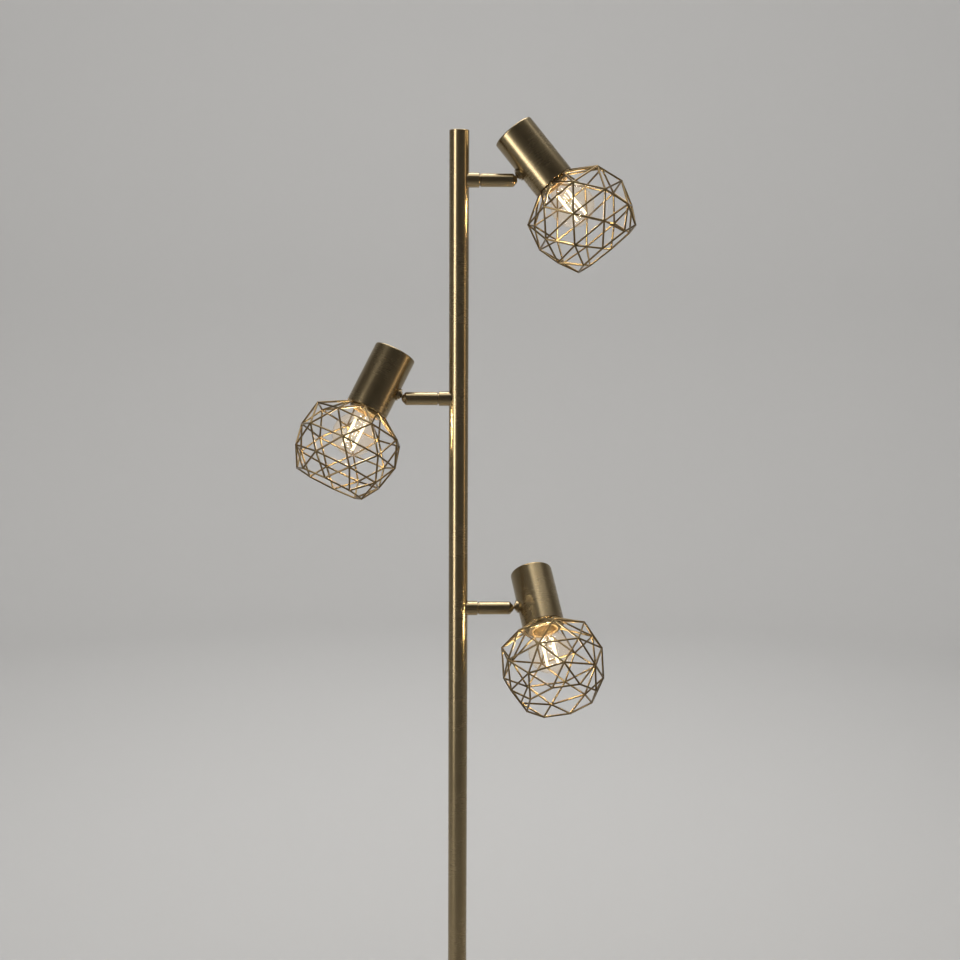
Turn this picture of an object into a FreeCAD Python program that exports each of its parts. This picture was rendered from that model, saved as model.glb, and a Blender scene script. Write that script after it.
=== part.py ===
"""Floor lamp with three wire cage heads on one slim pole.

Millimetres, +Z up.  The origin is the middle of the base, on the floor.  Arms 1 and 3
leave the pole along +X, arm 2 along -X.  Each arm turns in its collar and ends in a ball
joint that carries a head: can, lampholder, bulb and a welded wire cage.
"""
import FreeCAD, Part
import math
import os

import Sketcher

SIZES = [
    # name, value, what it is
    ("total_height", 1550, "floor to the flat top of the pole"),
    ("press_gap", 0.05, "radial gap of pieces that are fitted tight"),
    ("run_gap", 0.07, "radial gap of pieces that turn in each other"),
    ("face_gap", 0.1, "gap between faces that turn against each other"),
    ("loose_gap", 0.3, "gap round pieces that are only laid in"),
    # base
    ("base_od", 250, "outside of the base cover"),
    ("base_height", 20, "floor to the top of the cover"),
    ("cover_wall", 1.2, "sheet of the cover"),
    ("cover_round", 7, "outside rounding of the cover's edge"),
    ("cover_lift", 0.8, "floor to the cover's lower edge"),
    ("pad_height", 2, "soft pad under the weight"),
    ("pad_margin", 8, "pad inside the weight's edge"),
    ("weight_gap", 1, "weight inside the cover's skirt"),
    ("weight_edge", 6, "chamfer of the weight's upper edge"),
    ("recess_od", 40, "recess for the nut under the weight"),
    ("recess_depth", 13, "depth of that recess"),
    ("channel_width", 11, "channel for the wiring"),
    ("channel_depth", 10, "depth of the channel"),
    ("nipple_od", 10, "hollow threaded rod"),
    ("nipple_bore", 7.2, "bore of the rod"),
    ("nipple_in_pole", 22, "rod inside the foot of the pole"),
    ("nipple_proud", 0.8, "rod below its nut"),
    ("washer_od", 26, "washer under the weight"),
    ("washer_height", 1.6, "its thickness"),
    ("nut_flats", 15, "nut across the flats"),
    ("nut_height", 4, "its thickness"),
    ("gland_height", 6.5, "middle of the cable inlet above the floor"),
    ("gland_od", 9, "inlet bush through the skirt"),
    ("gland_bore", 6.6, "its bore"),
    ("gland_flange_od", 10.8, "its outer flange"),
    ("gland_flange", 1.4, "thickness of the flange"),
    ("gland_lip_od", 10, "lip that holds the bush in the skirt"),
    ("gland_lip", 1.2, "thickness of the lip"),
    # pole
    ("pole_od", 20, "tube"),
    ("pole_wall", 1.2, "wall of the tube"),
    ("lower_length", 640, "lower tube"),
    ("foot_length", 24, "threaded foot in the lower tube"),
    ("coupler_length", 60, "plug across the joint"),
    ("coupler_bore", 11, "bore of the plug"),
    ("cap_height", 1.6, "flat cap"),
    ("cap_plug", 8, "plug of the cap inside the tube"),
    ("cap_edge", 0.4, "broken edge of the cap"),
    ("top_to_arm", 49, "pole top to the first arm"),
    ("arm_pitch", 220, "arm to arm"),
    # arms
    ("collar_od", 15, "collar on the pole"),
    ("collar_end", 20.4, "pole axis to the collar's outer face"),
    ("collar_edge", 0.5, "broken edges of the collar"),
    ("collar_shank_od", 9.9, "shank through the pole's wall"),
    ("collar_shank_in", 7.6, "pole axis to the shank's inner end"),
    ("spigot_od", 11.6, "step between collar and arm"),
    ("spigot_length", 1, "its length"),
    ("screw_od", 6, "hollow screw that the arm turns on"),
    ("screw_bore", 3.8, "its bore"),
    ("screw_grip", 9, "its length inside the collar"),
    ("screw_head_od", 9.2, "its head"),
    ("screw_head", 2, "thickness of the head"),
    ("arm_od", 13.6, "arm tube"),
    ("arm_bore", 9.8, "inner bore of the arm"),
    ("arm_floor", 2.5, "wall at the collar's end"),
    ("arm_edge", 0.4, "broken edge at the collar's end"),
    ("ball_reach", 53, "pole axis to the middle of the ball"),
    ("ball_od", 11.2, "ball"),
    ("ball_exposed", 2.6, "middle of the ball to the arm's mouth"),
    ("socket_bore", 11.5, "bore round the ball and its cup"),
    ("mouth_edge", 1.2, "chamfer round the arm's mouth, radial"),
    ("mouth_edge_length", 1.8, "the same, along the arm"),
    ("cup_length", 8, "cup behind the ball, from the ball's middle"),
    ("cup_seat_start", 1, "ball's middle to the cup's rim"),
    ("cup_bore", 4, "bore of the cup"),
    # neck
    ("neck_bore", 2.2, "bore through ball and neck"),
    ("waist_od", 4, "waist behind the ball"),
    ("waist_end", 6.1, "ball's middle to the end of the waist"),
    ("shoulder_length", 0.8, "cone from the waist to the neck"),
    ("neck_od", 8.4, "neck"),
    ("stud_od", 6, "threaded stud into the head"),
    ("stud_past", 0.5, "stud past the strap"),
    ("saddle_od", 13, "washer between neck and can"),
    ("saddle_height", 1.6, "its thickness at the middle"),
    # head
    ("can_offset", 32, "ball's middle to the can's axis"),
    ("can_od", 44.4, "can"),
    ("can_wall", 1, "wall of the can"),
    ("can_length", 65.5, "length of the can"),
    ("can_above", 38.5, "neck to the can's closed top"),
    ("can_round", 1.6, "outside rounding of the top edge"),
    ("strap_width", 16, "strap that carries the lampholder"),
    ("strap_wall", 1.5, "its thickness"),
    ("strap_bend", 1, "inside radius of its bend"),
    ("strap_drop", 6, "strap below the neck's axis"),
    ("strap_past", 8, "strap past the can's axis"),
    ("strap_rise", 12.5, "neck to the underside of the strap's shelf"),
    ("lead_hole_od", 4, "hole in the strap for the wiring"),
    ("holder_top_od", 19, "lampholder, upper part"),
    ("holder_top_length", 17, "its length"),
    ("holder_edge", 1.5, "rounding of its top"),
    ("holder_slope", 6, "cone between the two parts"),
    ("holder_od", 27.6, "threaded sleeve of the lampholder"),
    ("holder_past", 5.5, "sleeve past the can's mouth"),
    ("holder_wall", 1.6, "wall of the sleeve"),
    ("holder_shoulder_od", 33, "shoulder over the cage's plate"),
    ("holder_shoulder", 2, "its thickness"),
    ("socket_od", 15.2, "bulb socket in the lampholder"),
    ("tail_od", 10, "threaded tail of the lampholder"),
    ("tail_length", 8, "its length above the shelf's underside"),
    ("tail_bore", 4, "its bore"),
    ("tail_nut_flats", 14, "nut on the tail, across the flats"),
    ("tail_nut_height", 3.5, "its thickness"),
    ("ring_od", 35, "ring that clamps the cage's plate"),
    ("ring_height", 4, "its height"),
    ("ring_edge", 0.8, "broken edge of the ring"),
    # cage
    ("wire_od", 1.8, "wire of the cage, across its corners"),
    ("plate_od", 43.2, "plate of the cage"),
    ("plate_height", 1, "its thickness"),
    ("cage_depth", 43.5, "can's mouth to the middle of the cage"),
    ("cage_sides", 8, "corners of each ring of wire"),
    ("root_od", 40.6, "circle of the wires' roots on the plate"),
    ("root_height", 42.3, "roots above the cage's middle"),
    ("upper_ring_od", 97, "upper ring"),
    ("upper_ring_height", 24.6, "its height above the middle"),
    ("middle_ring_od", 106.8, "middle ring"),
    ("lower_ring_od", 97.4, "lower ring"),
    ("lower_ring_drop", 23.8, "its depth below the middle"),
    ("open_ring_od", 74, "open ring at the bottom"),
    ("open_ring_drop", 42.8, "its depth below the middle"),
    # bulb
    ("globe_od", 45, "glass globe"),
    ("globe_height", 13, "middle of the globe above the cage's middle"),
    ("glass_wall", 0.8, "wall of the glass"),
    ("glass_neck_od", 16.4, "neck of the glass"),
    ("glass_blend", 12, "outside radius between neck and globe"),
    ("bulb_cap_od", 13.9, "screw cap"),
    ("bulb_cap_length", 16.5, "its length"),
    ("bulb_rim_od", 17.2, "rim of the cap round the glass"),
    ("bulb_rim_length", 2.5, "height of the rim"),
    ("bulb_contact_od", 5, "contact at the cap's end"),
    ("bulb_contact", 2, "its length"),
    ("bulb_length", 78, "tip of the globe to the contact"),
    ("stem_od", 3.2, "glass stem in the bulb"),
    ("filament_od", 1.8, "filament"),
    ("filament_length", 31, "its length"),
    ("filament_pitch", 11, "filament to filament across the stem"),
    ("feed_od", 0.7, "feed wires of the filaments"),
    # wiring
    ("trunk_od", 3.2, "wiring in the pole"),
    ("trunk_height", 5.2, "wiring in the channel above the floor"),
    ("trunk_bend", 8, "bend under the pole"),
    ("trunk_aside", 1.5, "wiring beside the pole's axis"),
    ("branch_od", 1.6, "wiring in each arm and head"),
    ("branch_aside", 0.8, "branch beside the arm's axis"),
    ("lead_bend", 5, "bend behind the neck"),
    ("lead_top", 26, "neck to the top of the head's wiring"),
    ("lead_start", 2, "ball's middle to the start of the head's wiring"),
    # as photographed
    ("swivel_1", -10, "arm 1 turned in its collar, degrees"),
    ("swivel_2", 16, "arm 2"),
    ("swivel_3", -42, "arm 3"),
    ("tilt_1", 38.5, "head 1 tilted outwards at its ball, degrees"),
    ("tilt_2", 26, "head 2"),
    ("tilt_3", 9.5, "head 3"),
    ("cage_turn_1", 5, "cage 1 turned on its can, degrees"),
    ("cage_turn_2", 20, "cage 2"),
    ("cage_turn_3", 3.5, "cage 3"),
    ("bulb_turn_1", -13, "filaments of bulb 1 turned about the can's axis, degrees"),
    ("bulb_turn_2", 8, "bulb 2"),
    ("bulb_turn_3", -10, "bulb 3"),
]

HEADS = (1, 2, 3)
FULL_TURN = 360
QUARTER = 90
SAFE_CUT = 1          # how far a cut runs past the faces that it has to clear
FIRST_END_INDEX = 1   # a sketch's numbers for the two ends of an edge
LAST_END_INDEX = 2
WIRE_SIDES = 6


class Size:
    """A number with the sheet expression that gives it, so that both stay together."""

    def __init__(self, number, text):
        self.number = number
        self.text = text

    def __float__(self):
        return float(self.number)

    def __add__(self, other):
        return Size(self.number + float(other), f"({self.text} + {text_of(other)})")

    def __sub__(self, other):
        return Size(self.number - float(other), f"({self.text} - {text_of(other)})")

    def __mul__(self, other):
        return Size(self.number * float(other), f"({self.text} * {text_of(other)})")

    def __truediv__(self, other):
        return Size(self.number / float(other), f"({self.text} / {text_of(other)})")

    def __neg__(self):
        return Size(-self.number, f"(0 - {self.text})")


def text_of(value):
    """The sheet expression of a size, or a plain number as text."""
    return value.text if isinstance(value, Size) else repr(float(value))


def leg(long_side, short_side):
    """The other leg of a right triangle, from its long side and one leg."""
    number = math.sqrt(float(long_side) ** 2 - float(short_side) ** 2)
    return Size(number, f"sqrt({text_of(long_side)} ^ 2 - {text_of(short_side)} ^ 2)")


def make_sheet(doc):
    """The spreadsheet with one driving size a row."""
    sheet = doc.addObject("Spreadsheet::Sheet", "Dims")
    for row, (name, value, note) in enumerate(SIZES, start=1):
        sheet.set(f"A{row}", name)
        sheet.set(f"B{row}", str(value))
        sheet.set(f"C{row}", note)
        sheet.setAlias(f"B{row}", name)
    doc.recompute()
    return sheet


class Dims:
    """Gives each row of the sheet as a Size, by its name."""

    def __init__(self, sheet):
        for name, _value, _note in SIZES:
            setattr(self, name, Size(float(sheet.get(name)), f"Dims.{name}"))


doc = FreeCAD.newDocument("cage_floor_lamp")
dims = Dims(make_sheet(doc))

# Sizes that several pieces share
pole_r = dims.pole_od / 2
pole_bore_r = pole_r - dims.pole_wall
weight_top = dims.base_height - dims.cover_wall
weight_r = dims.base_od / 2 - dims.cover_wall - dims.weight_gap
recess_top = dims.pad_height + dims.recess_depth
washer_bottom = recess_top - dims.washer_height
nut_bottom = washer_bottom - dims.nut_height
joint_height = dims.base_height + dims.lower_length
cap_bottom = dims.total_height - dims.cap_height
arm_inner_end = dims.collar_end + dims.spigot_length + dims.face_gap
screw_head_start = arm_inner_end + dims.arm_floor + dims.face_gap
arm_mouth = dims.ball_reach + dims.ball_exposed
seat_r = dims.ball_od / 2 + dims.run_gap
can_r = dims.can_od / 2
can_inner_r = can_r - dims.can_wall
can_mouth = dims.can_above - dims.can_length
saddle_start = dims.can_offset - can_r - dims.saddle_height
strap_face = -leg(can_inner_r - dims.press_gap, dims.strap_width / 2)
strap_inner = strap_face + dims.strap_wall
shelf_top = dims.strap_rise + dims.strap_wall
sleeve_end = can_mouth - dims.holder_past
plate_bottom = can_mouth - dims.plate_height
cage_middle = can_mouth - dims.cage_depth
globe_middle = cage_middle + dims.globe_height
globe_tip = globe_middle - dims.globe_od / 2
contact_end = globe_tip + dims.bulb_length
cap_end = contact_end - dims.bulb_contact
cap_start = cap_end - dims.bulb_cap_length
filament_top = globe_middle + dims.filament_length / 2
filament_bottom = globe_middle - dims.filament_length / 2


class Corner:
    """A corner of an outline.  With a radius, the edge that arrives here is an arc;
    turn is 1 where the arc's middle lies to the left of the way it runs, else -1."""

    def __init__(self, across, up, radius=None, turn=1):
        self.across = across
        self.up = up
        self.radius = radius
        self.turn = turn

    def point(self):
        return FreeCAD.Vector(float(self.across), float(self.up), 0)


def outline_edge(start, corner):
    """The line or arc from the corner before to this corner."""
    end = corner.point()
    if corner.radius is None:
        return Part.LineSegment(start, end)
    radius = float(corner.radius)
    middle = (start + end) / 2
    along = end - start
    left = FreeCAD.Vector(-along.y, along.x, 0) / along.Length
    rise = math.sqrt(max(radius ** 2 - (along.Length / 2) ** 2, 0))
    centre = middle + left * rise * corner.turn
    bulge = middle - left * corner.turn * (radius - rise)
    assert abs((bulge - centre).Length - radius) < 1e-6
    return Part.Arc(start, bulge, end)


def end_of_edge(corner):
    """Which end of its edge a corner is: a sketch keeps every arc counterclockwise."""
    clockwise = corner.radius is not None and corner.turn == -1
    return FIRST_END_INDEX if clockwise else LAST_END_INDEX


def other_end(end):
    return FIRST_END_INDEX + LAST_END_INDEX - end


def add_constraint(sketch, kind, *where):
    """Adds a constraint whose last value may be a Size, and binds it to the sheet."""
    value = where[-1]
    number = sketch.addConstraint(Sketcher.Constraint(kind, *where[:-1], float(value)))
    if isinstance(value, Size):
        sketch.setExpression(f"Constraints[{number}]", value.text)


def pin_point(sketch, edge, point, across, up):
    """Fixes one point of an edge at its place across and up from the sketch's origin."""
    if float(across) == 0:
        sketch.addConstraint(Sketcher.Constraint("PointOnObject", edge, point, -2))
    else:
        add_constraint(sketch, "DistanceX", -1, 1, edge, point, across)
    if float(up) == 0:
        sketch.addConstraint(Sketcher.Constraint("PointOnObject", edge, point, -1))
    else:
        add_constraint(sketch, "DistanceY", -1, 1, edge, point, up)


def new_sketch(body, plane_role):
    """An empty sketch on one of the body's own origin planes."""
    sketch = body.newObject("Sketcher::SketchObject", body.Name + "_sketch")
    plane = [item for item in body.Origin.OriginFeatures if item.Role == plane_role][0]
    sketch.AttachmentSupport = [(plane, "")]
    sketch.MapMode = "FlatFace"
    return sketch


def outline_sketch(body, plane_role, corners):
    """A closed outline through its corners, each one bound to the sheet."""
    sketch = new_sketch(body, plane_role)
    corners = [item if isinstance(item, Corner) else Corner(*item) for item in corners]
    numbers = []
    for index, corner in enumerate(corners):
        numbers.append(sketch.addGeometry(outline_edge(corners[index - 1].point(), corner)))
    for index, corner in enumerate(corners):
        number = numbers[index]
        following = (index + 1) % len(corners)
        sketch.addConstraint(Sketcher.Constraint(
            "Coincident", number, end_of_edge(corner),
            numbers[following], other_end(end_of_edge(corners[following]))))
        pin_point(sketch, number, end_of_edge(corner), corner.across, corner.up)
        if corner.radius is not None:
            add_constraint(sketch, "Radius", number, corner.radius)
    return sketch


def circle_sketch(body, plane_role, circles):
    """Circles, each one as across, up and radius."""
    sketch = new_sketch(body, plane_role)
    up_axis = FreeCAD.Vector(0, 0, 1)
    for across, up, radius in circles:
        centre = FreeCAD.Vector(float(across), float(up), 0)
        number = sketch.addGeometry(Part.Circle(centre, up_axis, float(radius)))
        add_constraint(sketch, "Radius", number, radius)
        pin_point(sketch, number, 3, across, up)
    return sketch


def new_body(name):
    body = doc.addObject("PartDesign::Body", name)
    body.Label = name
    return body


def turn_outline(body, corners):
    """Turns a closed outline, given as radius and height, round the body's Z axis."""
    sketch = outline_sketch(body, "XZ_Plane", corners)
    turned = body.newObject("PartDesign::Revolution", body.Name + "_turned")
    turned.Profile = sketch
    turned.ReferenceAxis = (sketch, ["V_Axis"])
    turned.Angle = FULL_TURN
    return turned


def turned_body(name, corners):
    body = new_body(name)
    turn_outline(body, corners)
    return body


def pad(body, sketch, length, middle=False):
    feature = body.newObject("PartDesign::Pad", body.Name + "_pad")
    feature.Profile = sketch
    feature.setExpression("Length", text_of(length))
    feature.Midplane = middle
    return feature


def pocket(body, sketch, length, middle=False, towards_normal=False):
    """A cut that has to take something away, which is tested once it is computed."""
    doc.recompute()
    before = body.Shape.Volume
    feature = body.newObject("PartDesign::Pocket", body.Name + "_pocket")
    feature.Profile = sketch
    feature.setExpression("Length", text_of(length))
    feature.Midplane = middle
    feature.Reversed = towards_normal
    doc.recompute()
    if not body.Shape.Volume < before:
        raise RuntimeError(f"{feature.Name} cuts nothing")
    return feature


def ring_corners(inner, outer, bottom, top):
    """The outline of a plain ring."""
    return [(inner, bottom), (outer, bottom), (outer, top), (inner, top)]


def hexagon(flats):
    """The corners of a hexagon across its flats."""
    half = flats / 2
    reach = half / math.cos(math.pi / 6)
    return [(reach, 0.0), (reach / 2, half), (-(reach / 2), half),
            (-reach, 0.0), (-(reach / 2), -half), (reach / 2, -half)]


def hex_nut(name, flats, hole, height):
    """A nut that stands on z = 0."""
    body = new_body(name)
    pad(body, outline_sketch(body, "XY_Plane", hexagon(flats)), height)
    pocket(body, circle_sketch(body, "XY_Plane", [(0, 0, hole)]), height, towards_normal=True)
    return body


# Places of the arms and heads -------------------------------------------------------------

def place(across=0, depth=0, up=0, axis=(0, 0, 1), angle=0):
    rotation = FreeCAD.Rotation(FreeCAD.Vector(*axis), float(angle))
    return FreeCAD.Placement(FreeCAD.Vector(float(across), float(depth), float(up)), rotation)


def per_head(name, head):
    return getattr(dims, f"{name}_{head}")


def arm_height(head):
    return dims.total_height - dims.top_to_arm - dims.arm_pitch * (head - 1)


def arm_side(head):
    """1 where the arm leaves the pole along +X, -1 along -X."""
    return -1 if head == 2 else 1


def arm_root(head):
    """On the pole's axis at the arm's height, +X out along the arm."""
    half_turn = 0 if arm_side(head) == 1 else 2 * QUARTER
    return place(up=arm_height(head), angle=half_turn)


ALONG_X = place(axis=(0, 1, 0), angle=QUARTER)


def fixed_on_arm(head):
    """For pieces turned about their Z axis that don't turn with the arm."""
    return arm_root(head) * ALONG_X


def turned_arm(head):
    return arm_root(head) * place(axis=(1, 0, 0), angle=per_head("swivel", head))


def ball_place(head):
    """The middle of the ball, +X along the neck, +Z up the can."""
    tilt = place(across=dims.ball_reach, axis=(0, 1, 0), angle=-per_head("tilt", head))
    return turned_arm(head) * tilt


def can_place(head):
    """On the can's axis at the height of the neck."""
    return ball_place(head) * place(across=dims.can_offset)


# Base and pole ----------------------------------------------------------------------------

def base_pad():
    outer = weight_r - dims.pad_margin
    return turned_body("base_pad", ring_corners(0, outer, 0, dims.pad_height))


def base_weight():
    """Iron disc with a recess for the nut and a channel for the wiring to the rear."""
    hole = dims.nipple_od / 2 + dims.loose_gap
    body = turned_body("base_weight", [
        (dims.recess_od / 2, dims.pad_height),
        (weight_r, dims.pad_height),
        (weight_r, weight_top - dims.weight_edge),
        (weight_r - dims.weight_edge, weight_top),
        (hole, weight_top),
        (hole, recess_top),
        (dims.recess_od / 2, recess_top),
    ])
    half = dims.channel_width / 2
    top = dims.pad_height + dims.channel_depth
    sketch = outline_sketch(body, "XZ_Plane", [
        (-half, dims.pad_height), (half, dims.pad_height), (half, top), (-half, top)])
    pocket(body, sketch, dims.base_od / 2)
    return body


def base_cover():
    """Spun cover: flat top, rounded edge and a short skirt."""
    outer = dims.base_od / 2
    inner = outer - dims.cover_wall
    hole = dims.nipple_od / 2 + dims.loose_gap
    inside_round = dims.cover_round - dims.cover_wall
    body = turned_body("base_cover", [
        (hole, weight_top),
        (inner - inside_round, weight_top),
        Corner(inner, weight_top - inside_round, inside_round, -1),
        (inner, dims.cover_lift),
        (outer, dims.cover_lift),
        (outer, dims.base_height - dims.cover_round),
        Corner(outer - dims.cover_round, dims.base_height, dims.cover_round, 1),
        (hole, dims.base_height),
    ])
    radius = dims.gland_od / 2 + dims.press_gap
    pocket(body, circle_sketch(body, "XZ_Plane", [(0, dims.gland_height, radius)]), outer)
    return body


def base_nipple():
    bottom = nut_bottom - dims.nipple_proud
    top = dims.base_height + dims.nipple_in_pole
    return turned_body("base_nipple",
                       ring_corners(dims.nipple_bore / 2, dims.nipple_od / 2, bottom, top))


def base_washer():
    hole = dims.nipple_od / 2 + dims.loose_gap
    return turned_body("base_washer",
                       ring_corners(hole, dims.washer_od / 2, washer_bottom, recess_top))


def base_nut():
    body = hex_nut("base_nut", dims.nut_flats, dims.nipple_od / 2 + dims.press_gap, dims.nut_height)
    body.Placement = place(up=nut_bottom)
    return body


def cable_gland():
    """Inlet bush in the rear of the skirt, turned about its own Z axis."""
    flange_start = dims.base_od / 2 + dims.press_gap
    flange_end = flange_start + dims.gland_flange
    lip_end = dims.base_od / 2 - dims.cover_wall - dims.face_gap
    bore = dims.gland_bore / 2
    barrel = dims.gland_od / 2
    flange = dims.gland_flange_od / 2
    body = turned_body("cable_gland", [
        (bore, lip_end - dims.gland_lip),
        (dims.gland_lip_od / 2, lip_end - dims.gland_lip),
        (dims.gland_lip_od / 2, lip_end - dims.gland_lip / 2),
        (barrel, lip_end),
        (barrel, flange_start),
        (flange, flange_start),
        (flange, flange_end - dims.gland_flange / 2),
        (flange - dims.gland_flange / 2, flange_end),
        (bore, flange_end),
    ])
    body.Placement = place(up=dims.gland_height, axis=(1, 0, 0), angle=-QUARTER)
    return body


def pole_lower():
    """Lower tube with a threaded foot."""
    foot_bore = dims.nipple_od / 2 + dims.press_gap
    foot_top = dims.base_height + dims.foot_length
    return turned_body("pole_lower", [
        (foot_bore, dims.base_height),
        (pole_r, dims.base_height),
        (pole_r, joint_height),
        (pole_bore_r, joint_height),
        (pole_bore_r, foot_top),
        (foot_bore, foot_top),
    ])


def pole_coupler():
    half = dims.coupler_length / 2
    return turned_body("pole_coupler", ring_corners(
        dims.coupler_bore / 2, pole_bore_r - dims.press_gap,
        joint_height - half, joint_height + half))


def pole_upper():
    """Upper tube with a hole for each collar."""
    body = turned_body("pole_upper", ring_corners(pole_bore_r, pole_r, joint_height, cap_bottom))
    hole = dims.collar_shank_od / 2 + dims.press_gap
    for side in (1, -1):
        circles = [(0, arm_height(head), hole) for head in HEADS if arm_side(head) == side]
        sketch = circle_sketch(body, "YZ_Plane", circles)
        pocket(body, sketch, dims.pole_od, towards_normal=side == 1)
    return body


def pole_cap():
    """Flat end of the pole, plugged into the tube."""
    plug_r = pole_bore_r - dims.press_gap
    return turned_body("pole_cap", [
        (0, cap_bottom - dims.cap_plug),
        (plug_r, cap_bottom - dims.cap_plug),
        (plug_r, cap_bottom),
        (pole_r, cap_bottom),
        (pole_r, dims.total_height - dims.cap_edge),
        (pole_r - dims.cap_edge, dims.total_height),
        (0, dims.total_height),
    ])


# Arms -------------------------------------------------------------------------------------

def arm_collar(head):
    """Collar with a saddle that fits the pole and a shank through its wall."""
    edge = dims.collar_edge
    outer = dims.collar_od / 2
    body = turned_body(f"arm_collar_{head}", [
        (0, dims.collar_shank_in),
        (outer, dims.collar_shank_in),
        (outer, dims.collar_end - edge),
        (outer - edge, dims.collar_end),
        (dims.spigot_od / 2, dims.collar_end),
        (dims.spigot_od / 2, dims.collar_end + dims.spigot_length),
        (0, dims.collar_end + dims.spigot_length),
    ])
    saddle = circle_sketch(body, "YZ_Plane", [(0, 0, pole_r + dims.press_gap)])
    pocket(body, saddle, dims.pole_od * 2, middle=True)
    shank = dims.collar_shank_od / 2
    turn_outline(body, ring_corners(0, shank, dims.collar_shank_in, pole_r + SAFE_CUT))
    bore = circle_sketch(body, "XY_Plane", [(0, 0, dims.screw_od / 2 + dims.press_gap)])
    pocket(body, bore, dims.collar_end * 2, towards_normal=True)
    body.Placement = fixed_on_arm(head)
    return body


def swivel_screw(head):
    """Hollow screw from inside the arm into the collar."""
    bore = dims.screw_bore / 2
    body = turned_body(f"swivel_screw_{head}", [
        (bore, dims.collar_end - dims.screw_grip),
        (dims.screw_od / 2, dims.collar_end - dims.screw_grip),
        (dims.screw_od / 2, screw_head_start),
        (dims.screw_head_od / 2, screw_head_start),
        (dims.screw_head_od / 2, screw_head_start + dims.screw_head),
        (bore, screw_head_start + dims.screw_head),
    ])
    body.Placement = fixed_on_arm(head)
    return body


def arm_tube(head):
    """Arm with the ball's seat rolled into its mouth."""
    outer = dims.arm_od / 2
    hole = dims.screw_od / 2 + dims.run_gap
    floor_end = arm_inner_end + dims.arm_floor
    cup_start = dims.ball_reach - dims.cup_length
    body = turned_body(f"arm_tube_{head}", [
        (hole, arm_inner_end),
        (outer - dims.arm_edge, arm_inner_end),
        (outer, arm_inner_end + dims.arm_edge),
        (outer, arm_mouth - dims.mouth_edge_length),
        (outer - dims.mouth_edge, arm_mouth),
        (leg(seat_r, dims.ball_exposed), arm_mouth),
        Corner(seat_r, dims.ball_reach, seat_r, -1),
        (dims.socket_bore / 2, dims.ball_reach),
        (dims.socket_bore / 2, cup_start),
        (dims.arm_bore / 2, cup_start),
        (dims.arm_bore / 2, floor_end),
        (hole, floor_end),
    ])
    body.Placement = turned_arm(head) * ALONG_X
    return body


def joint_cup(head):
    """Cup that presses on the ball from behind."""
    outer = dims.socket_bore / 2 - dims.press_gap
    bore = dims.cup_bore / 2
    rim = dims.ball_reach - dims.cup_seat_start
    bore_top = dims.ball_reach - leg(seat_r, bore)
    rim_r = leg(seat_r, dims.cup_seat_start)
    body = turned_body(f"joint_cup_{head}", [
        (bore, dims.ball_reach - dims.cup_length),
        (outer, dims.ball_reach - dims.cup_length),
        (outer, rim),
        (rim_r, rim),
        Corner(bore, bore_top, seat_r, -1),
    ])
    body.Placement = turned_arm(head) * ALONG_X
    return body


def neck(head):
    """Ball, waist, neck and stud in one, turned along the neck from the ball's middle."""
    bore = dims.neck_bore / 2
    ball_r = dims.ball_od / 2
    waist = dims.waist_od / 2
    shoulder_end = dims.waist_end + dims.shoulder_length
    stud_end = dims.can_offset + strap_inner + dims.stud_past
    body = turned_body(f"neck_{head}", [
        (bore, -leg(ball_r, bore)),
        Corner(waist, leg(ball_r, waist), ball_r, 1),
        (waist, dims.waist_end),
        (dims.neck_od / 2, shoulder_end),
        (dims.neck_od / 2, saddle_start),
        (dims.stud_od / 2, saddle_start),
        (dims.stud_od / 2, stud_end),
        (bore, stud_end),
    ])
    body.Placement = ball_place(head) * ALONG_X
    return body


def neck_washer(head):
    """Washer whose outer face is hollowed to the can."""
    body = turned_body(f"neck_washer_{head}", ring_corners(
        dims.stud_od / 2 + dims.press_gap, dims.saddle_od / 2,
        saddle_start, dims.can_offset - can_r + dims.saddle_height))
    can_round = circle_sketch(body, "YZ_Plane", [(0, dims.can_offset, can_r + dims.press_gap)])
    pocket(body, can_round, dims.saddle_od * 2, middle=True)
    body.Placement = ball_place(head) * ALONG_X
    return body


# Heads ------------------------------------------------------------------------------------

def can(head):
    """Can with a closed top and a hole for the neck's stud."""
    top = dims.can_above
    inner_round = dims.can_round - dims.can_wall
    body = turned_body(f"can_{head}", [
        (can_inner_r, can_mouth),
        (can_r, can_mouth),
        (can_r, top - dims.can_round),
        Corner(can_r - dims.can_round, top, dims.can_round, 1),
        (0, top),
        (0, top - dims.can_wall),
        (can_inner_r - inner_round, top - dims.can_wall),
        Corner(can_inner_r, top - dims.can_round, inner_round, -1),
    ])
    hole = circle_sketch(body, "YZ_Plane", [(0, 0, dims.stud_od / 2 + dims.press_gap)])
    pocket(body, hole, dims.can_od)
    body.Placement = can_place(head)
    return body


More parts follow.
